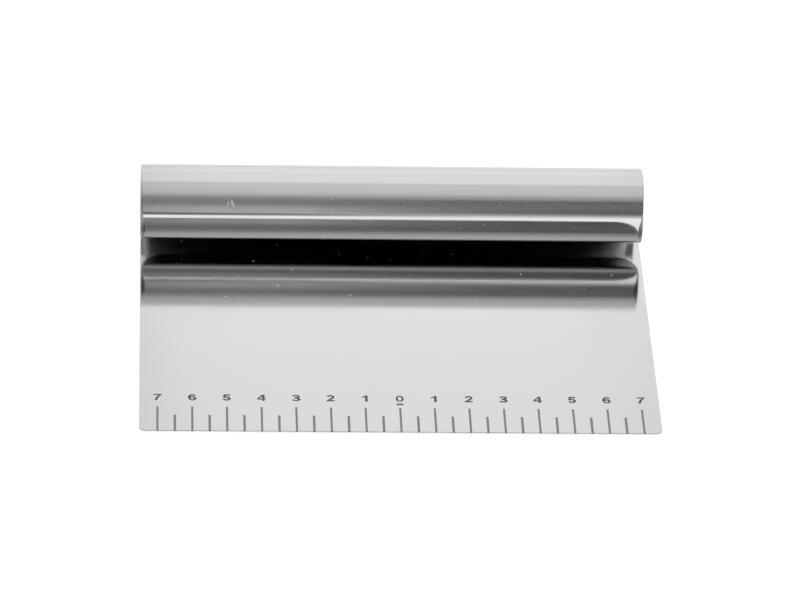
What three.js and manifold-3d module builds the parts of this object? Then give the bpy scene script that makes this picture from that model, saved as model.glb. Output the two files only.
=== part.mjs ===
// Dough scraper: a stainless sheet with a straight working edge and an etched ruler,
// its far end rolled forward into a hollow handle that is open at both ends and whose
// lip is curled in under it, clear of the blade.
// Millimetres, +Z up. The blade lies on its back on z = 0, the working edge faces -Y
// and the rolled handle is at +Y. The origin is under the middle of the whole object.
// The sheet runs on without a break from the blade into the roll. The two nodes meet
// face to face on the bend line, where the flat sheet starts to curve.
import * as THREE from 'three';
import { mergeVertices } from 'three/addons/utils/BufferGeometryUtils.js';
import Module from 'manifold-3d';

// Sheet
const SHEET_THICKNESS = 0.6;
const BLADE_WIDTH = 150.6;
const OVERALL_DEPTH = 110;
const WORKING_CORNER_RADIUS = 2;
const LIP_CORNER_RADIUS = 7;

// Roll: radii of the sheet's outside up the back, down the front and round the curl
// under it, how far each goes round, and the flat stretch from the curl to the lip
const BACK_RADIUS = 12.03;
const BACK_TURN = THREE.MathUtils.degToRad(180);
const FRONT_RADIUS = 11.69;
const FRONT_TURN = THREE.MathUtils.degToRad(115.8);
const CURL_RADIUS = 4.28;
const CURL_TURN = THREE.MathUtils.degToRad(55.8);
const LIP_FLAT = 3.5;

// Ruler along the working edge, with its zero in the middle of the blade
const TICK_PITCH = 5;
const TICK_WIDTH = 0.65;
const LONG_TICK_LENGTH = 11.5;
const SHORT_TICK_LENGTH = 7.55;
const ETCH_DEPTH = 0.05;
const RULER_SIDE_MARGIN = 4;

// Facets of the round stretches, and how far a cutter stands clear of what it cuts
const ROLL_STEP = 1;
const CORNER_STEPS = 12;
const CUTTER_OVERRUN = 1;

// Places that follow from the sizes
const QUARTER_TURN = Math.PI / 2;
const HALF_WIDTH = BLADE_WIDTH / 2;
const EDGE_Y = -OVERALL_DEPTH / 2;
const BEND_Y = OVERALL_DEPTH / 2 - BACK_RADIUS;

const wasm = await Module();
wasm.setup();

const polishedSteel = new THREE.MeshStandardMaterial({ color: 0xdcdcdc, roughness: 0.14, metalness: 1 });

function toSolid(geometry) {
  const bare = geometry.clone();
  bare.deleteAttribute('normal');
  bare.deleteAttribute('uv');
  const merged = mergeVertices(bare);
  return new wasm.Manifold(new wasm.Mesh({
    numProp: 3,
    vertProperties: new Float32Array(merged.attributes.position.array),
    triVerts: new Uint32Array(merged.index.array),
  }));
}

function toGeometry(solid) {
  const mesh = solid.getMesh();
  const geometry = new THREE.BufferGeometry();
  geometry.setAttribute('position', new THREE.BufferAttribute(mesh.vertProperties, 3));
  geometry.setIndex(new THREE.BufferAttribute(mesh.triVerts, 1));
  geometry.computeVertexNormals();
  return geometry;
}

function namedMesh(name, geometry) {
  const mesh = new THREE.Mesh(geometry, polishedSteel);
  mesh.name = name;
  return mesh;
}

// Flat plate from the working edge to the bend line, its two working corners rounded
function bladePlate() {
  const radius = WORKING_CORNER_RADIUS;
  const outline = new THREE.Shape();
  outline.moveTo(HALF_WIDTH, BEND_Y);
  outline.lineTo(-HALF_WIDTH, BEND_Y);
  outline.lineTo(-HALF_WIDTH, EDGE_Y + radius);
  outline.absarc(-HALF_WIDTH + radius, EDGE_Y + radius, radius, Math.PI, Math.PI + QUARTER_TURN);
  outline.lineTo(HALF_WIDTH - radius, EDGE_Y);
  outline.absarc(HALF_WIDTH - radius, EDGE_Y + radius, radius, -QUARTER_TURN, 0);
  outline.closePath();
  return new THREE.ExtrudeGeometry(outline, {
    depth: SHEET_THICKNESS,
    bevelEnabled: false,
    curveSegments: CORNER_STEPS,
  });
}

// One groove of the ruler, running in from the working edge
function tickCutter(index) {
  const isLong = index % 2 === 0;
  const length = isLong ? LONG_TICK_LENGTH : SHORT_TICK_LENGTH;
  const height = ETCH_DEPTH + CUTTER_OVERRUN;
  const cutter = new THREE.BoxGeometry(TICK_WIDTH, length + CUTTER_OVERRUN, height);
  cutter.translate(
    index * TICK_PITCH,
    EDGE_Y + (length - CUTTER_OVERRUN) / 2,
    SHEET_THICKNESS - ETCH_DEPTH + height / 2,
  );
  return cutter;
}

function makeBlade() {
  const lastTick = Math.floor((HALF_WIDTH - RULER_SIDE_MARGIN) / TICK_PITCH);
  let solid = toSolid(bladePlate());
  for (let index = -lastTick; index <= lastTick; index += 1) {
    solid = solid.subtract(toSolid(tickCutter(index)));
  }
  return namedMesh('blade', toGeometry(solid));
}

// The roll's arcs in order, with their lengths on the middle of the sheet
const ROLL_ARCS = [
  { radius: BACK_RADIUS, turn: BACK_TURN },
  { radius: FRONT_RADIUS, turn: FRONT_TURN },
  { radius: CURL_RADIUS, turn: CURL_TURN },
];
const middleRadius = (arc) => arc.radius - SHEET_THICKNESS / 2;
const ROLL_LENGTH = ROLL_ARCS.reduce((sum, arc) => sum + middleRadius(arc) * arc.turn, LIP_FLAT);
const outward = (turn) => new THREE.Vector2(Math.sin(turn), -Math.cos(turn));

// A cross line of the rolled sheet, by its distance from the bend line on the middle of
// the sheet: its place on both faces, and half its width
function crossLine(distance, halfWidth) {
  const outside = new THREE.Vector2(BEND_Y, 0);
  let turn = 0;
  let rest = distance;
  for (const arc of ROLL_ARCS) {
    const step = Math.min(rest / middleRadius(arc), arc.turn);
    outside.addScaledVector(outward(turn), -arc.radius);
    turn += step;
    outside.addScaledVector(outward(turn), arc.radius);
    rest = Math.max(rest - step * middleRadius(arc), 0);
  }
  outside.addScaledVector(new THREE.Vector2(Math.cos(turn), Math.sin(turn)), rest);
  const inside = outside.clone().addScaledVector(outward(turn), -SHEET_THICKNESS);
  return { outside, inside, halfWidth };
}

// Cross lines from the bend line, up the back and over the top, down to the lip.
// The last ones narrow along the lip's rounded corners, laid out on the middle of the sheet.
function rollCrossLines() {
  const lines = [];
  const plainLength = ROLL_LENGTH - LIP_CORNER_RADIUS;
  const plainSteps = Math.ceil(plainLength / ROLL_STEP);
  for (let step = 0; step < plainSteps; step += 1) {
    lines.push(crossLine((plainLength * step) / plainSteps, HALF_WIDTH));
  }
  for (let step = 0; step <= CORNER_STEPS; step += 1) {
    const angle = (QUARTER_TURN * step) / CORNER_STEPS;
    const halfWidth = HALF_WIDTH - LIP_CORNER_RADIUS * (1 - Math.cos(angle));
    lines.push(crossLine(plainLength + LIP_CORNER_RADIUS * Math.sin(angle), halfWidth));
  }
  return lines;
}

// The rolled sheet as one closed skin: four corners a cross line, joined to the next four
function makeHandleRoll() {
  const positions = [];
  const triangles = [];
  const lines = rollCrossLines();
  for (const { outside, inside, halfWidth } of lines) {
    positions.push(-halfWidth, outside.x, outside.y);
    positions.push(halfWidth, outside.x, outside.y);
    positions.push(halfWidth, inside.x, inside.y);
    positions.push(-halfWidth, inside.x, inside.y);
  }
  const addQuad = (a, b, c, d) => triangles.push(a, b, c, a, c, d);
  for (let line = 0; line < lines.length - 1; line += 1) {
    for (let corner = 0; corner < 4; corner += 1) {
      const next = (corner + 1) % 4;
      addQuad(4 * line + corner, 4 * line + 4 + corner, 4 * line + 4 + next, 4 * line + next);
    }
  }
  const lip = 4 * (lines.length - 1);
  addQuad(0, 1, 2, 3);
  addQuad(lip + 3, lip + 2, lip + 1, lip);
  const geometry = new THREE.BufferGeometry();
  geometry.setAttribute('position', new THREE.Float32BufferAttribute(positions, 3));
  geometry.setIndex(triangles);
  geometry.computeVertexNormals();
  return namedMesh('handle_roll', geometry);
}

const scraper = new THREE.Group();
scraper.add(makeBlade(), makeHandleRoll());

export default scraper;
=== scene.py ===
"""Dough scraper: a polished steel sheet with an etched ruler, its far end rolled into a hollow handle.

The script builds the visible sheet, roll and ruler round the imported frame, in metres, and a plain stage.
"""
import math

import bmesh
import bpy
from bpy.props import FloatProperty, FloatVectorProperty, PointerProperty
from mathutils import Matrix, Vector
from mathutils.geometry import tessellate_polygon


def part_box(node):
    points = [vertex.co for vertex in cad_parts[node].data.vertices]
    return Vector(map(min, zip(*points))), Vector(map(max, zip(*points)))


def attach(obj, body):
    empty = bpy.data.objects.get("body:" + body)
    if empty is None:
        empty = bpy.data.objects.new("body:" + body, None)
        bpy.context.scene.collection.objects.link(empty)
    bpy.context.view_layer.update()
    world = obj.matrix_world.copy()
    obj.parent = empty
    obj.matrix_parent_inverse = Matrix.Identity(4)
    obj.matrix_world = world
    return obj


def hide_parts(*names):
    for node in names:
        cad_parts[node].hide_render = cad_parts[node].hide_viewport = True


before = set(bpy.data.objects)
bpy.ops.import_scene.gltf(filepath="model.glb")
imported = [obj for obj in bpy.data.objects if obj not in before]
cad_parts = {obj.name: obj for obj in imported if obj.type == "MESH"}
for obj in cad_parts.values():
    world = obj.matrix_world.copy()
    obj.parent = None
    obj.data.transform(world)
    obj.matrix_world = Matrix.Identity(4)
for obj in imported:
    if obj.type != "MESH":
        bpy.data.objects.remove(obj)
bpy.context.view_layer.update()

bl_info = {
    "name": "Dough scraper",
    "version": (1, 0, 0),
    "blender": (4, 5, 0),
    "location": "3D View > Sidebar > Scraper",
    "description": "Builds a rolled-handle dough scraper with its ruler, finishes and stage",
    "category": "Object",
}

BLADE_LOW, BLADE_HIGH = (Vector(corner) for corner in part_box("blade"))

MILLIMETRE = 0.001
QUARTER_TURN = math.pi / 2
BODY = "root"
WHITE = (1.0, 1.0, 1.0)
SENSOR_WIDTH = 36.0

# Fineness of the meshes
RIM_STEPS = 6
SHEET_COLUMNS = 16
BLADE_ROWS = 40
BLADE_CORNER_STEPS = 16
ROLL_ROWS = 200
LIP_CORNER_STEPS = 48
DIGIT_ARC_STEPS = 20


# Kinds of settings

def metres(name, description, default):
    """A length."""
    return FloatProperty(name=name, description=description, default=default, unit="LENGTH", precision=6)


def mm(name, description, default):
    """A length that is given in millimetres and kept in metres."""
    return metres(name, description, default * MILLIMETRE)


def degrees(name, description, default):
    """An angle that is given in degrees and kept in radians."""
    return FloatProperty(name=name, description=description, default=math.radians(default), subtype="ANGLE")


def zero_to_one(name, description, default):
    """A share."""
    return FloatProperty(name=name, description=description, default=default, min=0.0, max=1.0)


def rgb(name, description, *default):
    """A linear colour."""
    return FloatVectorProperty(
        name=name, description=description, default=default, subtype="COLOR", size=3, min=0.0, max=1.0)


def xyz(name, description, *default):
    """A point in metres."""
    return FloatVectorProperty(
        name=name, description=description, default=default, subtype="XYZ", size=3, precision=6)


class SheetSizes(bpy.types.PropertyGroup):
    """The sheet that blade and roll are made of."""

    width: metres("Width", "Width of the sheet along the working edge", BLADE_HIGH.x - BLADE_LOW.x)
    thickness: metres("Thickness", "Thickness of the sheet", BLADE_HIGH.z - BLADE_LOW.z)
    edge_y: metres("Working edge", "Where the working edge lies, front to back", BLADE_LOW.y)
    bend_y: metres("Bend line", "Where the flat blade starts to roll, front to back", BLADE_HIGH.y)
    corner_radius: mm("Corner radius", "Radius of the two working corners, seen from above", 2.0)
    edge_radius: mm("Edge rounding", "Radius of the sheet's cut edges on its front face", 0.24)
    back_edge_radius: mm("Back edge rounding", "Radius of the sheet's cut edges on its back face", 0.05)


class RollSizes(bpy.types.PropertyGroup):
    """The arcs that the sheet's far end follows, from the bend line to the lip, and the roll's rims."""

    back_radius: mm("Back radius", "Outside radius up the back of the roll", 12.03)
    back_turn: degrees("Back turn", "How far the back of the roll goes round", 180.0)
    front_radius: mm("Front radius", "Outside radius down the front of the roll", 11.69)
    front_turn: degrees("Front turn", "How far the front of the roll goes round", 115.8)
    curl_radius: mm("Curl radius", "Outside radius of the curl under the front", 4.28)
    curl_turn: degrees("Curl turn", "How far the curl goes round", 55.8)
    lip_flat: mm("Lip flat", "Length of the flat stretch from the curl to the lip", 3.5)
    lip_corner_radius: mm("Lip corner radius", "Radius of the lip's two corners, on the flat sheet", 7.0)
    rim_reach: mm("Rim reach", "How far the rounding of the outside rim reaches in from the ends", 0.5)
    rim_depth: mm("Rim depth", "How deep the rounding of the outside rim goes into the sheet", 0.22)
    low_rim_reach: mm("Low rim reach", "How far that rounding reaches in half way down the front", 1.25)
    low_rim_from: mm("Low rim start", "Length past the bend line from which it reaches further in", 51.3)
    low_rim_to: mm("Low rim end", "Length past the bend line at which that is over", 60.0)
    low_rim_over: mm("Low rim growth", "Length over which it comes to reach that far, and to be over", 3.0)
    narrowing: mm("Narrowing", "How much each end of the roll draws in down the front", 0.24)
    narrow_from: mm("Narrowing start", "Length past the bend line from which the ends draw in", 38.0)
    narrow_over: mm("Narrowing length", "Length over which the ends draw in", 10.0)
    flare_reach: mm("Flare reach", "How far in from the ends the inside of the roll flares", 3.2)
    flare_depth: mm("Flare depth", "How deep that flare goes into the sheet", 0.1)
    rim_growth: mm("Rim growth", "Length past the bend line over which rounding and flare grow", 12.0)


class RulerSizes(bpy.types.PropertyGroup):
    """The ruler etched along the working edge."""

    pitch: mm("Pitch", "Distance from one tick to the next", 5.0)
    side_margin: mm("Side margin", "Least distance from the last tick to the sheet's side", 4.0)
    long_tick_width: mm("Long tick width", "Width of the ticks at whole centimetres", 0.63)
    short_tick_width: mm("Short tick width", "Width of the ticks at half centimetres", 0.72)
    long_tick: mm("Long tick", "Length of the ticks at whole centimetres", 11.5)
    short_tick: mm("Short tick", "Length of the ticks at half centimetres", 7.55)
    digit_height: mm("Digit height", "Height of the numerals", 3.03)
    digit_width: mm("Digit width", "Width of the numeral box", 2.5)
    digit_gap: mm("Digit gap", "Clear height from a long tick to the numeral above it", 3.0)
    bar_gap: mm("Bar gap", "Clear height from the bar under the zero to the numeral", 0.85)
    bar_width: mm("Bar width", "Width of the bar under the zero", 2.05)
    bar_height: mm("Bar height", "Height of the bar under the zero", 0.75)
    sunk: mm("Sunk", "How deep a mark reaches into the sheet", 0.05)
    proud: mm("Proud", "How far a mark stands above the sheet", 0.01)


class FinishValues(bpy.types.PropertyGroup):
    """Colours and textures of the finishes."""

    steel_colour: rgb("Steel colour", "Colour of the polished sheet", 0.7, 0.7, 0.702)
    steel_roughness: zero_to_one("Steel roughness", "Roughness of the polished sheet", 0.09)
    edge_tint: rgb(
        "Edge tint", "Share of the light that the steel mirrors at a glancing angle", 0.8, 0.8, 0.8)
    # Painted shade: a darker steel colour under the roll's lip
    lip_shade_colour: rgb("Underside colour", "Colour of the steel under the roll's lip", 0.5, 0.5, 0.5)
    # Painted shade: the inside's colour is darker than the steel's, to darken the hollow of the roll
    inside_shade_colour: rgb("Inside colour", "Colour of the inside of the roll", 0.6, 0.6, 0.6)
    inside_roughness: zero_to_one("Inside roughness", "Roughness of the inside of the roll", 0.15)
    cut_colour: rgb("Cut colour", "Colour of the deburred edges", 0.86, 0.86, 0.86)
    cut_roughness: zero_to_one("Cut roughness", "Roughness of the deburred edges", 0.32)
    # Painted shade: the dark colour of the roll's rim half way down its front
    rim_shade_colour: rgb("Rim colour", "Colour of the roll's rim on its lower stretch", 0.11, 0.11, 0.11)
    tick_colour: rgb("Tick colour", "Colour of the etched ticks", 0.19, 0.19, 0.19)
    numeral_colour: rgb("Numeral colour", "Colour of the etched numerals", 0.085, 0.085, 0.085)
    dust_colour: rgb("Dust colour", "Colour of the dust on the sheet", 0.75, 0.75, 0.75)
    scuff_place: xyz(
        "Scuff place", "Middle of the small scuff on the front of the roll", -0.0478, 0.0331, 0.0186)


class StageValues(bpy.types.PropertyGroup):
    """Floor, light and camera."""

    floor_size: metres("Floor size", "Side of the square floor", 6.0)
    floor_colour: rgb("Floor colour", "Colour of the floor", 0.28, 0.28, 0.28)
    elevation: degrees("Elevation", "Height of the camera above the horizon", 35.355)
    azimuth: degrees("Azimuth", "Turn of the camera round the object, to the left when negative", -3.544)
    roll: degrees("Roll", "Turn of the camera about its own axis", 2.518)
    distance: metres("Distance", "Distance from the camera to its target", 1.5656)
    target: xyz("Target", "Point that the camera looks at", 0.001902, 0.010317, 0.0006)
    lens: FloatProperty(
        name="Lens", description="Focal length on a sensor 36 mm wide", default=237.26, unit="CAMERA")
    lamp_size: metres("Lamp size", "Side of the soft overhead lamp", 1.4)
    lamp_height: metres("Lamp height", "Height of the soft overhead lamp", 1.5)
    lamp_power: FloatProperty(
        name="Lamp power", description="Power of the soft overhead lamp", default=12.0, unit="POWER")


class ScraperSettings(bpy.types.PropertyGroup):
    """All values of the scraper, kept on the scene."""

    sheet: PointerProperty(type=SheetSizes)
    roll: PointerProperty(type=RollSizes)
    ruler: PointerProperty(type=RulerSizes)
    finish: PointerProperty(type=FinishValues)
    stage: PointerProperty(type=StageValues)


# Sheet meshes

# Materials of a sheet, by their place among its slots
FRONT, BACK, RIM = range(3)

# A strip of a rim that lies along the front by more than this share looks like the front
FLAT_SHARE = 0.9

INNER_COLUMNS = range(1, SHEET_COLUMNS)


def clamped(share):
    """A share, kept from 0 to 1."""
    return min(max(share, 0.0), 1.0)


def finish_mesh(name, mesh_builder):
    """The mesh of a builder, with its faces turned outward."""
    bmesh.ops.recalc_face_normals(mesh_builder, faces=mesh_builder.faces)
    mesh = bpy.data.meshes.new(name)
    mesh_builder.to_mesh(mesh)
    mesh_builder.free()
    return mesh


def rim_section(thickness, front_round, back_round):
    """Section of a rounded rim from the front face to the back: inset, height, outward and upward share.

    A rounding is a quarter of an ellipse: how far it reaches in over the face, and how deep it goes.
    """
    section = []
    for side, (reach, depth) in ((1, front_round), (-1, back_round)):
        for step in range(RIM_STEPS + 1):
            share = step / RIM_STEPS
            angle = QUARTER_TURN * (1 - share) if side > 0 else -QUARTER_TURN * share
            inset = reach * (1 - math.cos(angle))
            height = side * (thickness / 2 - depth) + depth * math.sin(angle)
            slope = Vector((depth * math.cos(angle), reach * math.sin(angle))).normalized()
            section.append((inset, height, slope.x, slope.y))
    return section


def rim_material(section, strip):
    """Material of one strip of a rim: the front's where it nearly lies along the front, or the rim's."""
    lean = (section[strip][3] + section[strip + 1][3]) / 2
    return FRONT if lean > FLAT_SHARE else RIM


def side_rows(half_width_at, length, corner_radius, plain_rows, corner_steps):
    """Right-hand outline of a flat sheet from the bend line on: x, distance along, and outward direction."""
    rows = []
    plain_length = length - corner_radius
    for step in range(plain_rows):
        along = plain_length * step / plain_rows
        rows.append((half_width_at(along), along, 1.0, 0.0))
    for step in range(corner_steps + 1):
        angle = QUARTER_TURN * step / corner_steps
        along = plain_length + corner_radius * math.sin(angle)
        x = half_width_at(along) - corner_radius * (1 - math.cos(angle))
        rows.append((x, along, math.cos(angle), math.sin(angle)))
    return rows


def column_share(column):
    """Where a column of the sheet's faces lies, from -1 on the left to 1 on the right."""
    return 2 * column / SHEET_COLUMNS - 1


def outline_chain(rows):
    """The sheet's whole outline: down its left side, along its far edge and back up its right side."""
    end_x, end_along = rows[-1][:2]
    chain = [(-x, along, -out_x, out_along) for x, along, out_x, out_along in rows]
    for column in INNER_COLUMNS:
        chain.append((end_x * column_share(column), end_along, 0.0, 1.0))
    chain.extend(reversed(rows))
    return chain


def sheet_mesh(name, rows, station, section_at, half_thickness):
    """A closed thin sheet with rounded rims, in the materials FRONT, BACK and RIM.

    station(along) gives the sheet's middle, direction and front side, section_at(along) its rim.
    """
    points = []
    normals = []

    def add_point(x, along, height, out_x, out_along, outward, upward):
        middle, direction, front = station(along)
        points.append(middle + Vector((x, 0.0, 0.0)) + front * height)
        normal = (Vector((out_x, 0.0, 0.0)) + direction * out_along) * outward + front * upward
        normals.append(normal.normalized())
        return len(points) - 1

    chain = outline_chain(rows)
    rim = []
    for x, along, out_x, out_along in chain:
        ring = []
        for inset, height, outward, upward in section_at(along):
            place = (x - out_x * inset, along - out_along * inset, height)
            ring.append(add_point(*place, out_x, out_along, outward, upward))
        rim.append(ring)

    def face_grid(slot, side):
        grid = []
        for index, (x, along, out_x, out_along) in enumerate(rows):
            left, right = rim[index][slot], rim[len(chain) - 1 - index][slot]
            if index == len(rows) - 1:
                inner = [rim[index + column][slot] for column in INNER_COLUMNS]
            else:
                inset = section_at(along)[slot][0]
                reach, place = x - out_x * inset, along - out_along * inset
                height = side * half_thickness
                inner = [
                    add_point(reach * column_share(column), place, height, 0.0, 0.0, 0.0, side)
                    for column in INNER_COLUMNS
                ]
            grid.append([left, *inner, right])
        return grid

    last = len(rim[0]) - 1
    front_grid, back_grid = face_grid(0, 1), face_grid(last, -1)
    mesh_builder = bmesh.new()
    corners = [mesh_builder.verts.new(point) for point in points]

    def add_face(ids, material):
        mesh_builder.faces.new([corners[i] for i in ids]).material_index = material

    for material, grid in ((FRONT, front_grid), (BACK, back_grid)):
        for upper, lower in zip(grid, grid[1:]):
            for column in range(SHEET_COLUMNS):
                add_face((upper[column], upper[column + 1], lower[column + 1], lower[column]), material)
    for (_, along, _, _), ring, following in zip(chain, rim, rim[1:]):
        section = section_at(along)
        for strip in range(last):
            ids = (ring[strip], ring[strip + 1], following[strip + 1], following[strip])
            add_face(ids, rim_material(section, strip))
    add_face(front_grid[0] + rim[-1][1:last] + back_grid[0][::-1] + rim[0][1:last][::-1], RIM)
    mesh = finish_mesh(name, mesh_builder)
    mesh.shade_smooth()
    mesh.normals_split_custom_set_from_vertices(normals)
    return mesh


def blade_station(sheet):
    """The flat blade, from the bend line towards the working edge."""
    direction, front = Vector((0.0, -1.0, 0.0)), Vector((0.0, 0.0, 1.0))

    def station(along):
        return Vector((0.0, sheet.bend_y - along, sheet.thickness / 2)), direction, front

    return station


def blade_section(sheet):
    """The blade's rim, the same all round."""
    front = (sheet.edge_radius, sheet.edge_radius)
    back = (sheet.back_edge_radius, sheet.back_edge_radius)
    section = rim_section(sheet.thickness, front, back)
    return lambda along: section


def roll_arcs(sheet, roll):
    """The roll's arcs in order: radius on the middle of the sheet, and turn."""
    half = sheet.thickness / 2
    return (
        (roll.back_radius - half, roll.back_turn),
        (roll.front_radius - half, roll.front_turn),
        (roll.curl_radius - half, roll.curl_turn),
    )


def roll_length(sheet, roll):
    """Length of the rolled stretch, on the middle of the sheet."""
    return roll.lip_flat + sum(radius * turn for radius, turn in roll_arcs(sheet, roll))


def roll_station(sheet, roll):
    """The roll, from the bend line round its arcs and along the flat to the lip."""
    def front_side(turn):
        return Vector((0.0, -math.sin(turn), math.cos(turn)))

    def station(along):
        place = Vector((0.0, sheet.bend_y, sheet.thickness / 2))
        turn, rest = 0.0, along
        for radius, arc_turn in roll_arcs(sheet, roll):
            step = min(rest / radius, arc_turn)
            place = place + (front_side(turn) - front_side(turn + step)) * radius
            turn += step
            rest = max(rest - step * radius, 0.0)
        direction = Vector((0.0, math.cos(turn), math.sin(turn)))
        return place + direction * rest, direction, front_side(turn)

    return station


def roll_section(sheet, roll):
    """The roll's rim: like the blade's at the bend line, then rolled over outside and flared inside."""
    plain_front = Vector((sheet.edge_radius, sheet.edge_radius))
    plain_back = Vector((sheet.back_edge_radius, sheet.back_edge_radius))
    flare = Vector((roll.flare_reach, roll.flare_depth))
    rounding = Vector((roll.rim_reach, roll.rim_depth))
    low_rounding = Vector((roll.low_rim_reach, roll.rim_depth))
    flare_stop = roll_length(sheet, roll) - roll.lip_corner_radius

    def section_at(along):
        share = clamped(along / roll.rim_growth)
        flare_share = min(share, clamped((flare_stop - along) / roll.rim_growth))
        from_ends = min(along - roll.low_rim_from, roll.low_rim_to - along)
        low_share = clamped(from_ends / roll.low_rim_over)
        outside = plain_back.lerp(rounding, share).lerp(low_rounding, low_share)
        return rim_section(sheet.thickness, plain_front.lerp(flare, flare_share), outside)

    return section_at


def roll_half_width(sheet, roll):
    """Half the roll's width: the sheet's up to the top, and a little less down the front."""
    def half_width_at(along):
        share = clamped((along - roll.narrow_from) / roll.narrow_over)
        return sheet.width / 2 - roll.narrowing * share

    return half_width_at


# Ruler marks

# How far a tick goes round the rounded working edge, and the width of the box that a numeral is drawn in
TICK_WRAP = math.radians(80.0)
DIGIT_BOX_WIDTH = 0.7


def oval(x, y, reach_x, reach_y, start, stop):
    """Points on an upright oval from one angle to another, in degrees."""
    points = []
    for step in range(DIGIT_ARC_STEPS + 1):
        angle = math.radians(start + (stop - start) * step / DIGIT_ARC_STEPS)
        points.append((x + reach_x * math.cos(angle), y + reach_y * math.sin(angle)))
    return points


def full_oval(x, y, reach_x, reach_y):
    """Points all round an upright oval, each once."""
    return oval(x, y, reach_x, reach_y, 0, 360)[:-1]


# Bold numerals in a box of height 1: an outline each, with its hole after it where it has one

def numeral_zero():
    return [full_oval(0.35, 0.5, 0.325, 0.5), full_oval(0.35, 0.5, 0.15, 0.33)]


def numeral_one():
    stem = [(0.34, 0), (0.56, 0), (0.56, 1), (0.39, 1)]
    flag = [(0.29, 0.87), (0.08, 0.78), (0.08, 0.61), (0.34, 0.71)]
    return [stem + flag]


def numeral_two():
    crown = oval(0.35, 0.69, 0.32, 0.31, 175, -32)
    foot = [(0.34, 0.2), (0.68, 0.2), (0.68, 0), (0.01, 0), (0.01, 0.12)]
    hollow = oval(0.35, 0.69, 0.11, 0.125, -28, 175)
    return [crown + foot + hollow]


def numeral_three():
    upper = oval(0.35, 0.735, 0.33, 0.265, 168, -38)
    lower = oval(0.35, 0.285, 0.37, 0.285, 48, -168)
    lower_hollow = oval(0.35, 0.285, 0.13, 0.1, -168, 90)
    waist = [(0.22, 0.41), (0.22, 0.63)]
    upper_hollow = oval(0.35, 0.735, 0.11, 0.08, -90, 168)
    return [upper + lower + lower_hollow + waist + upper_hollow]


def numeral_four():
    stem = [(0.4, 0), (0.61, 0), (0.61, 0.21)]
    bar_end = [(0.71, 0.21), (0.71, 0.37), (0.61, 0.37)]
    slope = [(0.61, 1), (0.42, 1), (0.0, 0.39), (0.0, 0.2), (0.4, 0.2)]
    hole = [(0.4, 0.38), (0.4, 0.72), (0.18, 0.38)]
    return [stem + bar_end + slope, hole]


def numeral_five():
    flag = [(0.1, 1), (0.64, 1), (0.64, 0.79), (0.29, 0.79), (0.28, 0.64)]
    bowl = oval(0.34, 0.33, 0.34, 0.33, 108, -165)
    hollow = oval(0.34, 0.33, 0.12, 0.13, -165, 128)
    return [flag + bowl + hollow + [(0.05, 0.47)]]


def numeral_six():
    back = oval(0.36, 0.5, 0.35, 0.5, 32, 270)
    bowl = oval(0.36, 0.325, 0.345, 0.325, -90, 106)
    tail = oval(0.36, 0.5, 0.135, 0.31, 150, 32)
    hole = full_oval(0.36, 0.32, 0.125, 0.14)
    return [back[:-1] + bowl + tail, hole]


def numeral_seven():
    bar = [(0.03, 1), (0.69, 1), (0.69, 0.86)]
    stem = [(0.49, 0.57), (0.38, 0.28), (0.34, 0), (0.12, 0), (0.17, 0.3), (0.29, 0.58), (0.44, 0.82)]
    return [bar + stem + [(0.03, 0.82)]]


NUMERALS = (
    numeral_zero, numeral_one, numeral_two, numeral_three,
    numeral_four, numeral_five, numeral_six, numeral_seven)


def add_prism(mesh_builder, loops, low, high):
    """A closed flat prism over one outline, with the holes that follow it in loops."""
    flat_loops = [[Vector((x, y, 0.0)) for x, y in loop] for loop in loops]
    flat_points = [point for loop in flat_loops for point in loop]
    bottom = [mesh_builder.verts.new((point.x, point.y, low)) for point in flat_points]
    top = [mesh_builder.verts.new((point.x, point.y, high)) for point in flat_points]
    for triangle in tessellate_polygon(flat_loops):
        mesh_builder.faces.new([top[i] for i in triangle])
        mesh_builder.faces.new([bottom[i] for i in reversed(triangle)])
    start = 0
    for loop in loops:
        count = len(loop)
        for index in range(count):
            here, there = start + index, start + (index + 1) % count
            mesh_builder.faces.new([bottom[here], bottom[there], top[there], top[here]])
        start += count


def last_tick(sheet, ruler):
    """Number of ticks on either side of the ruler's zero."""
    return math.floor((sheet.width / 2 - ruler.side_margin) / ruler.pitch)


def tick_path(sheet, length, lift):
    """Side view of a tick, raised by lift over the sheet: along the face, and fading down the edge."""
    radius = sheet.edge_radius
    path = [(sheet.edge_y + length, sheet.thickness + lift)]
    for step in range(RIM_STEPS + 1):
        angle = TICK_WRAP * step / RIM_STEPS
        reach = radius + lift * math.cos(angle)
        height = sheet.thickness - radius + reach * math.cos(angle)
        path.append((sheet.edge_y + radius - reach * math.sin(angle), height))
    return path


def ticks_mesh(name, sheet, ruler):
    """The ruler's ticks, each a thin strip laid into the face and over the working edge."""
    mesh_builder = bmesh.new()
    last = last_tick(sheet, ruler)
    for index in range(-last, last + 1):
        is_long = index % 2 == 0
        length = ruler.long_tick if is_long else ruler.short_tick
        half = (ruler.long_tick_width if is_long else ruler.short_tick_width) / 2
        outer = tick_path(sheet, length, ruler.proud)
        inner = tick_path(sheet, length, -ruler.sunk)
        outline = outer + inner[::-1]
        left, right = (
            [mesh_builder.verts.new((index * ruler.pitch + side * half, y, z)) for y, z in outline]
            for side in (-1, 1))
        count = len(outline)
        for here in range(count):
            there = (here + 1) % count
            mesh_builder.faces.new((left[here], left[there], right[there], right[here]))
        for here in range(len(outer) - 1):
            below = count - 1 - here
            for side in (left, right):
                mesh_builder.faces.new((side[here], side[here + 1], side[below - 1], side[below]))
    return finish_mesh(name, mesh_builder)


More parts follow.
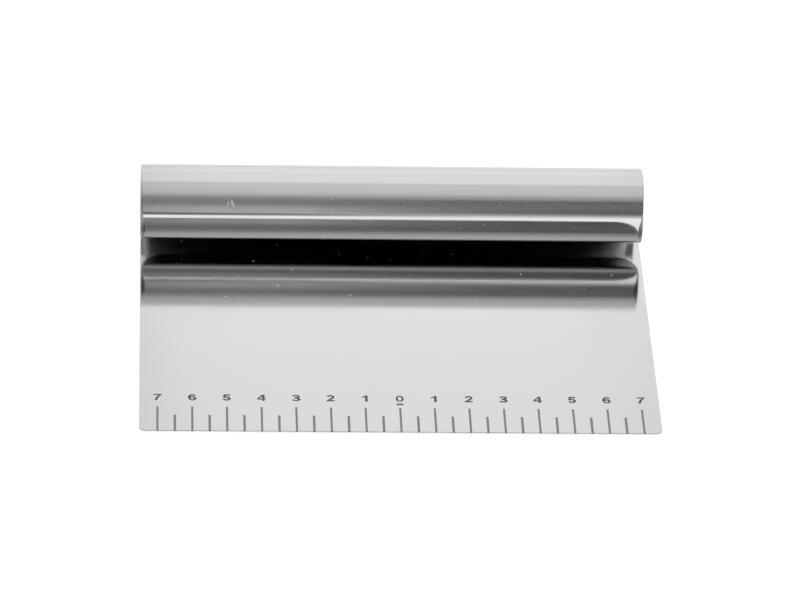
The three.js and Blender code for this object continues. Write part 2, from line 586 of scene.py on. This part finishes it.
def numerals_mesh(name, sheet, ruler):
    """The ruler's numerals and the bar under its zero, as flat prisms laid into the face."""
    prisms = []
    base = sheet.edge_y + ruler.long_tick + ruler.digit_gap
    scale = ruler.digit_width / DIGIT_BOX_WIDTH
    last_centimetre = last_tick(sheet, ruler) // 2
    if last_centimetre >= len(NUMERALS):
        raise ValueError("the ruler is longer than its numerals go")
    for centimetre in range(-last_centimetre, last_centimetre + 1):
        left = centimetre * 2 * ruler.pitch - ruler.digit_width / 2
        prisms.append([
            [(left + x * scale, base + y * ruler.digit_height) for x, y in loop]
            for loop in NUMERALS[abs(centimetre)]()
        ])
    half = ruler.bar_width / 2
    bar_top = base - ruler.bar_gap
    bar_foot = bar_top - ruler.bar_height
    prisms.append([[(-half, bar_foot), (half, bar_foot), (half, bar_top), (-half, bar_top)]])
    mesh_builder = bmesh.new()
    for loops in prisms:
        add_prism(mesh_builder, loops, sheet.thickness - ruler.sunk, sheet.thickness + ruler.proud)
    return finish_mesh(name, mesh_builder)


# Finishes

# Noises of the grain and the smudges: stretch for each axis, waves to the metre, detail and roughness
EVENLY = (1.0, 1.0, 1.0)
STREAKS = ((0.25, 1.0, 1.0), 2600.0, 3.0, 0.5)
PITS = (EVENLY, 1500.0, 2.0, 0.5)
SMUDGES = ((0.6, 1.0, 1.0), 38.0, 3.0, 0.55)
GRAIN_SHARE = 0.5

# Dust: cells to the metre, the share of them that hold a speck, and the largest speck in shares of a cell
BLADE_SPECKS = {"Cells": 700.0, "Amount": 0.1, "Size": 0.17}
ROLL_SPECKS = {"Cells": 700.0, "Amount": 0.12, "Size": 0.18}
ROLL_FILM = {"Cells": 4200.0, "Amount": 0.6, "Size": 0.55}
INSIDE_LINT = {"Cells": 500.0, "Amount": 0.02, "Size": 0.2}
DUST_ROUGHNESS = 0.8

# The film of dust on the roll's front, by how far the surface faces up: from, to, and its share at both
DUST_SETTLES = (0.32, 0.5, 0.0, 0.28)
DUST_IS_WIPED = (0.62, 0.8, 1.0, 0.0)

# Values of the grain and the smudges between which their effect grows
SMUDGE_RANGE = (0.35, 0.75)
GRAIN_RANGE = (0.35, 0.65)
MARK_RANGE = (0.3, 0.7)

# How far a roughness goes below and above its value, and the two ends of the etching's
STEEL_SPREAD = (0.02, 0.03)
INSIDE_SPREAD = (0.05, 0.06)
CUT_SPREAD = (0.07, 0.1)
ETCHED_ROUGHNESS = (0.5, 0.65)

# Strength and depth of the bumps
STEEL_BUMP = (0.05, 0.1 * MILLIMETRE)
INSIDE_BUMP = (0.12, 0.1 * MILLIMETRE)
CUT_BUMP = (0.25, 0.05 * MILLIMETRE)
ETCHED_BUMP = (0.3, 0.05 * MILLIMETRE)

# The cut edge's darker marks and the etching's paler ones, in shares of their colours
SHEAR_SHADE = 0.85
BURN_SHADE = 1.35
ETCHED_METAL = 0.2

# Strokes of the scuff: shift to the right and up from its middle in millimetres, turn in radians, half
# width and half length in millimetres. A stroke fades from its core to its outline.
SCUFF_STROKES = (
    (0.0, 0.1, -0.36, 0.65, 2.0),
    (-1.3, 0.3, -0.25, 0.42, 1.1),
    (0.7, -0.95, -0.6, 0.45, 0.9),
)
SCUFF_DEPTH = 6.0 * MILLIMETRE
STROKE_FADES = (0.15, 1.0, 1.0, 0.0)
STROKE_STRENGTH = 0.95

# By height on the roll, from, to, and the share at both: the painted shade, a darker steel colour, under the
# lip, and the cut edge's colour on the rim, over and under its stretch of painted shade
UNDER_LIP_SHADE = (5.2 * MILLIMETRE, 6.2 * MILLIMETRE, 1.0, 0.0)
RIM_SHADE_ENDS_ABOVE = (11.5 * MILLIMETRE, 21.0 * MILLIMETRE, 0.0, 0.8)
RIM_SHADE_ENDS_BELOW = (8.0 * MILLIMETRE, 10.5 * MILLIMETRE, 0.22, 0.0)


def feed(tree, node, name, value):
    """Link a node's input to the socket that feeds it, or set its own value. A colour is made opaque."""
    socket = node.inputs[name]
    if isinstance(value, bpy.types.NodeSocket):
        tree.links.new(value, socket)
    elif socket.type == "RGBA":
        socket.default_value = (*value, 1.0)
    else:
        socket.default_value = value


def add_node(tree, kind, inputs, **settings):
    """A node with its settings, and with values or links on its inputs."""
    node = tree.nodes.new(kind)
    for name, value in settings.items():
        setattr(node, name, value)
    for name, value in inputs.items():
        feed(tree, node, name, value)
    return node


def add_math(tree, operation, *values):
    """The result of a sum on numbers or sockets."""
    return add_node(tree, "ShaderNodeMath", dict(enumerate(values)), operation=operation).outputs[0]


def add_map(tree, value, low, high, to_low, to_high, smooth=False):
    """A value carried over from one range to another, and kept inside it."""
    inputs = {"Value": value, "From Min": low, "From Max": high, "To Min": to_low, "To Max": to_high}
    growth = "SMOOTHSTEP" if smooth else "LINEAR"
    return add_node(tree, "ShaderNodeMapRange", inputs, interpolation_type=growth).outputs["Result"]


def add_axes(tree, vector):
    """The X, Y and Z of a vector."""
    return add_node(tree, "ShaderNodeSeparateXYZ", {"Vector": vector}).outputs


def add_colour_mix(tree, mask, base, over):
    """A base colour with another over it where the mask says. Both are colours or sockets."""
    inputs = {"Factor": mask, "A": base, "B": over}
    return add_node(tree, "ShaderNodeMix", inputs, data_type="RGBA").outputs["Result"]


def add_bump(tree, shader, height, strength, distance):
    """A bump from a height to the shader's normal."""
    inputs = {"Height": height, "Strength": strength, "Distance": distance}
    feed(tree, shader, "Normal", add_node(tree, "ShaderNodeBump", inputs).outputs["Normal"])


def object_coordinates(tree):
    """Places on the piece itself, in metres."""
    return tree.nodes.new("ShaderNodeTexCoord").outputs["Object"]


def stretched_coordinates(tree, scale=EVENLY):
    """Object coordinates, stretched by a scale for each axis."""
    inputs = {"Vector": object_coordinates(tree), "Scale": scale}
    return add_node(tree, "ShaderNodeMapping", inputs).outputs["Vector"]


def add_noise(tree, stretch, scale, detail, roughness):
    """A soft noise over stretched coordinates."""
    vector = stretched_coordinates(tree, stretch)
    inputs = {"Vector": vector, "Scale": scale, "Detail": detail, "Roughness": roughness}
    return add_node(tree, "ShaderNodeTexNoise", inputs).outputs["Fac"]


def new_group(name, inputs, outputs):
    """A shader node group of floats, with inputs by name and default, and outputs by name."""
    group = bpy.data.node_groups.new(name, "ShaderNodeTree")
    for socket, default in inputs.items():
        made = group.interface.new_socket(socket, in_out="INPUT", socket_type="NodeSocketFloat")
        made.default_value = default
    for socket in outputs:
        group.interface.new_socket(socket, in_out="OUTPUT", socket_type="NodeSocketFloat")
    return group, group.nodes.new("NodeGroupInput"), group.nodes.new("NodeGroupOutput")


def add_group(tree, group, **values):
    """The outputs of a node group that is placed in a material with its own values."""
    return add_node(tree, "ShaderNodeGroup", values, node_tree=group).outputs


def grain_group():
    """Fine rolling grain along the sheet's width, with soft wiping smudges."""
    group, _, ends = new_group("Rolling grain", {}, ("Height", "Smudge"))
    streaks = add_math(group, "MULTIPLY", add_noise(group, *STREAKS), GRAIN_SHARE)
    pits = add_math(group, "MULTIPLY", add_noise(group, *PITS), GRAIN_SHARE)
    feed(group, ends, "Height", add_math(group, "ADD", streaks, pits))
    feed(group, ends, "Smudge", add_noise(group, *SMUDGES))
    return group


def dust_group():
    """Scattered dust specks: a mask that is 1 on a speck."""
    group, starts, ends = new_group("Dust specks", BLADE_SPECKS, ("Mask",))
    inputs = {"Vector": stretched_coordinates(group), "Scale": starts.outputs["Cells"]}
    cells = add_node(group, "ShaderNodeTexVoronoi", inputs).outputs
    pick = add_node(group, "ShaderNodeSeparateColor", {"Color": cells["Color"]}).outputs
    chosen = add_math(group, "LESS_THAN", pick["Red"], starts.outputs["Amount"])
    reach = add_math(group, "MULTIPLY", pick["Green"], starts.outputs["Size"])
    speck = add_math(group, "LESS_THAN", cells["Distance"], reach)
    feed(group, ends, "Mask", add_math(group, "MULTIPLY", chosen, speck))
    return group


def new_material(name):
    """A material, its node tree and its shader."""
    material = bpy.data.materials.new(name)
    material.use_nodes = True
    tree = material.node_tree
    return material, tree, tree.nodes["Principled BSDF"]


def coat_with_dust(tree, shader, finish, steel, dusty):
    """Steel under a mask of dust, which is no metal."""
    feed(tree, shader, "Base Color", add_colour_mix(tree, dusty, steel, finish.dust_colour))
    feed(tree, shader, "Metallic", add_math(tree, "SUBTRACT", 1.0, dusty))
    feed(tree, shader, "Specular Tint", finish.edge_tint)


def add_roughness(tree, mask, mask_range, roughness, spread):
    """A roughness that wanders round its value with a mask."""
    below, above = spread
    return add_map(tree, mask, *mask_range, roughness - below, roughness + above)


def add_shear_marks(tree, shader, finish, grained):
    """Roughness and bumps of sheared steel."""
    rough = add_roughness(tree, grained["Height"], MARK_RANGE, finish.cut_roughness, CUT_SPREAD)
    feed(tree, shader, "Roughness", rough)
    add_bump(tree, shader, grained["Height"], *CUT_BUMP)


def polish(tree, shader, finish, grain, steel, dusty):
    """Polished steel with fine grain and wiping smudges under a mask of dust."""
    coat_with_dust(tree, shader, finish, steel, dusty)
    grained = add_group(tree, grain)
    clean = add_roughness(tree, grained["Smudge"], SMUDGE_RANGE, finish.steel_roughness, STEEL_SPREAD)
    dull = add_math(tree, "MULTIPLY", dusty, DUST_ROUGHNESS)
    feed(tree, shader, "Roughness", add_math(tree, "MAXIMUM", clean, dull))
    add_bump(tree, shader, grained["Height"], *STEEL_BUMP)


def bright_sheet(finish, grain, dust):
    """The blade: nearly a mirror, with a few specks of dust."""
    _, tree, shader = new_material("bright_sheet")
    specks = add_group(tree, dust, **BLADE_SPECKS)["Mask"]
    polish(tree, shader, finish, grain, finish.steel_colour, specks)


def add_settled_dust(tree, dust):
    """Dust on the roll: scattered specks, and a thin film on its front."""
    specks = add_group(tree, dust, **ROLL_SPECKS)["Mask"]
    film = add_group(tree, dust, **ROLL_FILM)["Mask"]
    surface = tree.nodes.new("ShaderNodeNewGeometry")
    upward = add_axes(tree, surface.outputs["Normal"])["Z"]
    settled = add_map(tree, upward, *DUST_SETTLES, smooth=True)
    wiped = add_map(tree, upward, *DUST_IS_WIPED, smooth=True)
    settled = add_math(tree, "MULTIPLY", settled, wiped)
    return add_math(tree, "MAXIMUM", specks, add_math(tree, "MULTIPLY", film, settled))


def add_stroke(tree, place, turn, half_width, half_length):
    """A mask that is 1 along a short scratch on the front of the roll, and fades at its outline."""
    inputs = {
        "Vector": object_coordinates(tree),
        "Location": place,
        "Rotation": (0.0, turn, 0.0),
        "Scale": (half_width, SCUFF_DEPTH, half_length),
    }
    mapping = add_node(tree, "ShaderNodeMapping", inputs, vector_type="TEXTURE")
    reach = add_node(tree, "ShaderNodeVectorMath", {0: mapping.outputs["Vector"]}, operation="LENGTH")
    return add_map(tree, reach.outputs["Value"], *STROKE_FADES, smooth=True)


def add_scuff(tree, finish, dusty):
    """A mask of dust with the strokes of the scuff over it."""
    for shift_x, shift_z, turn, half_width, half_length in SCUFF_STROKES:
        place = Vector(finish.scuff_place) + Vector((shift_x, 0.0, shift_z)) * MILLIMETRE
        stroke = add_stroke(tree, place, turn, half_width * MILLIMETRE, half_length * MILLIMETRE)
        dusty = add_math(tree, "MAXIMUM", dusty, add_math(tree, "MULTIPLY", stroke, STROKE_STRENGTH))
    return dusty


def bright_roll(finish, grain, dust):
    """Outside of the roll: as bright as the blade, with painted shade under its lip, with dust and one
    scuff.
    """
    _, tree, shader = new_material("bright_roll")
    dusty = add_scuff(tree, finish, add_settled_dust(tree, dust))
    height = add_axes(tree, stretched_coordinates(tree))["Z"]
    # Painted shade: below the lip's height the steel colour goes over into a darker one
    under = add_map(tree, height, *UNDER_LIP_SHADE, smooth=True)
    steel = add_colour_mix(tree, under, finish.steel_colour, finish.lip_shade_colour)
    polish(tree, shader, finish, grain, steel, dusty)


def roll_inside(finish, grain, dust):
    """Inside of the roll: duller, streaked by the rolling, with lint, and a darker colour that is painted
    shade in its hollow.
    """
    _, tree, shader = new_material("roll_inside")
    lint = add_group(tree, dust, **INSIDE_LINT)["Mask"]
    # Painted shade: the inside's darker colour darkens the roll's hollow
    coat_with_dust(tree, shader, finish, finish.inside_shade_colour, lint)
    grained = add_group(tree, grain)
    rough = add_roughness(tree, grained["Smudge"], SMUDGE_RANGE, finish.inside_roughness, INSIDE_SPREAD)
    feed(tree, shader, "Roughness", rough)
    add_bump(tree, shader, grained["Height"], *INSIDE_BUMP)


def cut_edge(finish, grain):
    """Deburred edge of the sheet: duller steel with fine marks from the shear."""
    _, tree, shader = new_material("cut_edge")
    feed(tree, shader, "Metallic", 1.0)
    grained = add_group(tree, grain)
    sheared = add_map(tree, grained["Height"], *GRAIN_RANGE, 0.0, 1.0)
    shade = [channel * SHEAR_SHADE for channel in finish.cut_colour]
    feed(tree, shader, "Base Color", add_colour_mix(tree, sheared, finish.cut_colour, shade))
    add_shear_marks(tree, shader, finish, grained)


def rim_with_painted_shade(finish, grain):
    """Rim of the roll: like a cut edge, with a stretch of painted shade, a dark colour, half way down its
    front.
    """
    _, tree, shader = new_material("rim_with_painted_shade")
    feed(tree, shader, "Metallic", 1.0)
    # Painted shade: over a stretch of heights half way down the front, the rim's colour goes dark
    height = add_axes(tree, stretched_coordinates(tree))["Z"]
    over = add_map(tree, height, *RIM_SHADE_ENDS_ABOVE)
    clean = add_math(tree, "MAXIMUM", over, add_map(tree, height, *RIM_SHADE_ENDS_BELOW))
    feed(tree, shader, "Base Color", add_colour_mix(tree, clean, finish.rim_shade_colour, finish.cut_colour))
    add_shear_marks(tree, shader, finish, add_group(tree, grain))


def etching(name, colour, grain):
    """Matt dark etching with a fine burnt grain."""
    _, tree, shader = new_material(name)
    grained = add_group(tree, grain)
    burn = add_map(tree, grained["Height"], *GRAIN_RANGE, 0.0, 1.0)
    pale = [channel * BURN_SHADE for channel in colour]
    feed(tree, shader, "Base Color", add_colour_mix(tree, burn, colour, pale))
    feed(tree, shader, "Metallic", ETCHED_METAL)
    rough = add_map(tree, grained["Smudge"], *MARK_RANGE, *ETCHED_ROUGHNESS)
    feed(tree, shader, "Roughness", rough)
    add_bump(tree, shader, grained["Height"], *ETCHED_BUMP)


def finishes(context):
    """The materials by name, made on the first call."""
    values = context.scene.dough_scraper.finish
    if "bright_sheet" not in bpy.data.materials:
        grain, dust = grain_group(), dust_group()
        bright_sheet(values, grain, dust)
        bright_roll(values, grain, dust)
        roll_inside(values, grain, dust)
        cut_edge(values, grain)
        rim_with_painted_shade(values, grain)
        etching("tick_etching", values.tick_colour, grain)
        etching("numeral_etching", values.numeral_colour, grain)
    return bpy.data.materials


# Stage

# What the steel mirrors, by the angle from the horizon in front, over the top, to the horizon behind:
# a dark room behind the camera, a paler ceiling and a white backdrop. Angle in degrees, brightness.
HALF_TURN = 180.0
BACKDROP = (
    (142, 0.985), (143.95, 1.005), (144.65, 1.14), (146.35, 1.14), (148.5, 1.05), (180, 1.05))
ROOM_LEFT = (
    (0, 0.42), (3, 0.16), (5.5, 0.16), (8.5, 0.64), (12, 0.6), (16, 0.62), (24, 0.57), (30, 0.36),
    (38, 0.27), (47, 0.3), (52, 0.35), (57, 0.43), (62, 0.59), (68, 0.68), (84, 0.76), (99, 0.76),
    (103, 0.98), (120, 1.01), (139, 0.99), *BACKDROP)
ROOM_RIGHT = (
    (0, 0.92), (2.5, 0.92), (5, 0.53), (8, 0.46), (12, 0.175), (20, 0.15), (30, 0.19), (42, 0.18),
    (47, 0.155), (52, 0.32), (57, 0.45), (62, 0.51), (68, 0.68), (84, 0.76), (99, 0.76),
    (103, 0.98), (120, 1.0), (139, 0.98), *BACKDROP)

# Steps across the room, by how far a direction points to the right: from, to, and the share at both.
# From the brighter to the darker half in front, the falling off at both ends of the light, and the dark
# far sides. On the left the light falls off further down to the low angle, in shares of the half turn.
ROOM_STEP = (0.027, 0.060, 0.0, 1.0)
LEFT_FALL_OFF = (0.0, 0.010, 0.84, 1.0)
RIGHT_FALL_OFF = (0.089, 0.099, 1.0, 0.9)
FAR_SIDES = (0.45, 0.9, 1.0, 0.35)
LOW_LEFT_END = (0.0, 0.009, 0.65, 1.0)
LOW_ANGLE = (20.0 / HALF_TURN, 32.0 / HALF_TURN, 0.0, 1.0)

# How brightly the floor shows by itself, and how far it lies below the blade's back
FLOOR_LIFT = 0.88
FLOOR_CLEARANCE = 0.02 * MILLIMETRE


def room_ramp(tree, factor, stops):
    """Brightness of the room by the angle, in shares of the half turn."""
    node = add_node(tree, "ShaderNodeValToRGB", {"Fac": factor})
    elements = node.color_ramp.elements
    while len(elements) < len(stops):
        elements.new(0.5)
    for element, (angle, level) in zip(elements, stops):
        element.position = angle / HALF_TURN
        element.color = (level, level, level, 1.0)
    return node.outputs["Color"]


def room_colour(tree, rightward, factor):
    """The room's left half, going over into its right half."""
    side = add_map(tree, rightward, *ROOM_STEP, smooth=True)
    left, right = (room_ramp(tree, factor, stops) for stops in (ROOM_LEFT, ROOM_RIGHT))
    return add_colour_mix(tree, side, left, right)


def room_level(tree, rightward, factor):
    """The share of the room's light that is left towards its sides."""
    sideways = add_math(tree, "ABSOLUTE", rightward)
    low_left = add_map(tree, rightward, *LOW_LEFT_END, smooth=True)
    level = add_math(tree, "MAXIMUM", low_left, add_map(tree, factor, *LOW_ANGLE, smooth=True))
    for value, fall_off in ((rightward, LEFT_FALL_OFF), (rightward, RIGHT_FALL_OFF), (sideways, FAR_SIDES)):
        level = add_math(tree, "MULTIPLY", level, add_map(tree, value, *fall_off, smooth=True))
    return level


def make_world(context):
    """The room that the steel mirrors, behind a backdrop that shows as white."""
    world = bpy.data.worlds.new("studio")
    context.scene.world = world
    world.use_nodes = True
    tree = world.node_tree
    axes = add_axes(tree, tree.nodes.new("ShaderNodeTexCoord").outputs["Generated"])
    towards_front = add_math(tree, "MULTIPLY", axes["Y"], -1.0)
    angle = add_math(tree, "ARCTAN2", axes["Z"], towards_front)
    factor = add_math(tree, "DIVIDE", angle, math.pi)
    room = tree.nodes["Background"]
    feed(tree, room, "Color", room_colour(tree, axes["X"], factor))
    feed(tree, room, "Strength", room_level(tree, axes["X"], factor))
    shown = add_node(tree, "ShaderNodeBackground", {"Color": WHITE})
    rays = tree.nodes.new("ShaderNodeLightPath").outputs
    shaders = {1: room.outputs["Background"], 2: shown.outputs["Background"]}
    seen = add_node(tree, "ShaderNodeMixShader", {"Fac": rays["Is Camera Ray"], **shaders})
    feed(tree, tree.nodes["World Output"], "Surface", seen.outputs["Shader"])


def floor_finish(stage):
    """Pale floor that shows as white, and keeps its shadow."""
    material, tree, shader = new_material("pale_floor")
    feed(tree, shader, "Base Color", stage.floor_colour)
    feed(tree, shader, "Roughness", 1.0)
    feed(tree, shader, "Specular IOR Level", 0.0)
    feed(tree, shader, "Emission Color", WHITE)
    rays = tree.nodes.new("ShaderNodeLightPath").outputs
    shown = add_math(tree, "MAXIMUM", rays["Is Camera Ray"], rays["Is Glossy Ray"])
    shown = add_math(tree, "MAXIMUM", shown, rays["Is Transmission Ray"])
    feed(tree, shader, "Emission Strength", add_math(tree, "MULTIPLY", shown, FLOOR_LIFT))
    return material


def add_floor(scene, stage):
    """A square floor just below the blade's back."""
    half = stage.floor_size / 2
    sides = ((-half, -half), (half, -half), (half, half), (-half, half))
    mesh = bpy.data.meshes.new("floor")
    mesh.from_pydata([(x, y, -FLOOR_CLEARANCE) for x, y in sides], [], [(0, 1, 2, 3)])
    mesh.materials.append(floor_finish(stage))
    floor = bpy.data.objects.new("floor", mesh)
    scene.collection.objects.link(floor)


def add_lamp(scene, stage):
    """A soft lamp overhead, which the steel doesn't mirror."""
    lamp_data = bpy.data.lights.new("overhead_lamp", "AREA")
    lamp_data.shape = "SQUARE"
    lamp_data.size = stage.lamp_size
    lamp_data.energy = stage.lamp_power
    lamp = bpy.data.objects.new("overhead_lamp", lamp_data)
    lamp.location = (0.0, 0.0, stage.lamp_height)
    lamp.visible_glossy = False
    scene.collection.objects.link(lamp)


def camera_matrix(stage):
    """The camera's place: round the target by azimuth and elevation, then rolled about its own axis."""
    flat = math.cos(stage.elevation)
    side, ahead = math.sin(stage.azimuth), math.cos(stage.azimuth)
    back = Vector((side * flat, -ahead * flat, math.sin(stage.elevation)))
    right = Vector((ahead, side, 0.0))
    up = back.cross(right)
    cosine, sine = math.cos(stage.roll), math.sin(stage.roll)
    rolled_right = right * cosine + up * sine
    rolled_up = up * cosine - right * sine
    turn = Matrix((rolled_right, rolled_up, back)).transposed().to_4x4()
    return Matrix.Translation(Vector(stage.target) + back * stage.distance) @ turn


def add_camera(scene, stage):
    """The scene's camera."""
    camera_data = bpy.data.cameras.new("camera")
    camera_data.sensor_width = SENSOR_WIDTH
    camera_data.lens = stage.lens
    camera = bpy.data.objects.new("camera", camera_data)
    camera.matrix_world = camera_matrix(stage)
    scene.collection.objects.link(camera)
    scene.camera = camera


# Operators

def add_piece(context, name, mesh, slot, *looks):
    """A piece of the scraper: linked, given its finishes, and riding on the part's one body."""
    materials = finishes(context)
    for look in looks:
        mesh.materials.append(materials[look])
    piece = bpy.data.objects.new(name, mesh)
    context.scene.collection.objects.link(piece)
    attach(piece, BODY)
    return piece


class SCRAPER_OT_stage(bpy.types.Operator):
    """Set the floor, the light and the camera"""

    bl_idname = "scraper.stage"
    bl_label = "Stage"

    def execute(self, context):
        scene = context.scene
        stage = scene.dough_scraper.stage
        scene.view_settings.view_transform = "Standard"
        make_world(context)
        add_floor(scene, stage)
        add_lamp(scene, stage)
        add_camera(scene, stage)
        return {"FINISHED"}


class SCRAPER_OT_blade(bpy.types.Operator):
    """Build the flat blade with its rounded working corners"""

    bl_idname = "scraper.blade"
    bl_label = "Blade"

    def execute(self, context):
        sheet = context.scene.dough_scraper.sheet
        length = sheet.bend_y - sheet.edge_y
        half = sheet.width / 2
        rows = side_rows(lambda along: half, length, sheet.corner_radius, BLADE_ROWS, BLADE_CORNER_STEPS)
        section_at = blade_section(sheet)
        mesh = sheet_mesh("blade_sheet", rows, blade_station(sheet), section_at, sheet.thickness / 2)
        looks = ("bright_sheet", "bright_sheet", "cut_edge")
        piece = add_piece(context, "blade_sheet", mesh, "polished_steel", *looks)
        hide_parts("blade")
        return {"FINISHED"}


class SCRAPER_OT_roll(bpy.types.Operator):
    """Build the rolled handle with the rounded corners of its lip"""

    bl_idname = "scraper.roll"
    bl_label = "Rolled handle"

    def execute(self, context):
        settings = context.scene.dough_scraper
        sheet, roll = settings.sheet, settings.roll
        length = roll_length(sheet, roll)
        half_width_at = roll_half_width(sheet, roll)
        rows = side_rows(half_width_at, length, roll.lip_corner_radius, ROLL_ROWS, LIP_CORNER_STEPS)
        section_at = roll_section(sheet, roll)
        mesh = sheet_mesh("rolled_handle", rows, roll_station(sheet, roll), section_at, sheet.thickness / 2)
        looks = ("roll_inside", "bright_roll", "rim_with_painted_shade")
        piece = add_piece(context, "rolled_handle", mesh, "polished_steel", *looks)
        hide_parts("handle_roll")
        return {"FINISHED"}


class SCRAPER_OT_ruler(bpy.types.Operator):
    """Etch the ruler's ticks and numerals along the working edge"""

    bl_idname = "scraper.ruler"
    bl_label = "Ruler"

    def execute(self, context):
        settings = context.scene.dough_scraper
        for name, build, look in (
            ("ruler_ticks", ticks_mesh, "tick_etching"),
            ("ruler_numerals", numerals_mesh, "numeral_etching"),
        ):
            mesh = build(name, settings.sheet, settings.ruler)
            add_piece(context, name, mesh, "etched_marks", look)
        return {"FINISHED"}


OPERATORS = (SCRAPER_OT_stage, SCRAPER_OT_blade, SCRAPER_OT_roll, SCRAPER_OT_ruler)


class SCRAPER_PT_sidebar(bpy.types.Panel):
    """Sizes and finishes of the scraper, and the buttons that build it"""

    bl_idname = "SCRAPER_PT_sidebar"
    bl_label = "Dough scraper"
    bl_space_type = "VIEW_3D"
    bl_region_type = "UI"
    bl_category = "Scraper"

    def draw(self, context):
        settings = context.scene.dough_scraper
        for group in (settings.sheet, settings.roll, settings.ruler, settings.finish, settings.stage):
            box = self.layout.box()
            for name in group.__annotations__:
                box.prop(group, name)
        for operator in OPERATORS:
            self.layout.operator(operator.bl_idname)


CLASSES = (
    SheetSizes, RollSizes, RulerSizes, FinishValues, StageValues, ScraperSettings,
    *OPERATORS, SCRAPER_PT_sidebar)


def register():
    for cls in CLASSES:
        bpy.utils.register_class(cls)
    bpy.types.Scene.dough_scraper = PointerProperty(type=ScraperSettings)


def unregister():
    del bpy.types.Scene.dough_scraper
    for cls in reversed(CLASSES):
        bpy.utils.unregister_class(cls)


def main():
    register()
    bpy.ops.scraper.stage()
    bpy.ops.scraper.blade()
    bpy.ops.scraper.roll()
    bpy.ops.scraper.ruler()


if __name__ == "__main__":
    main()
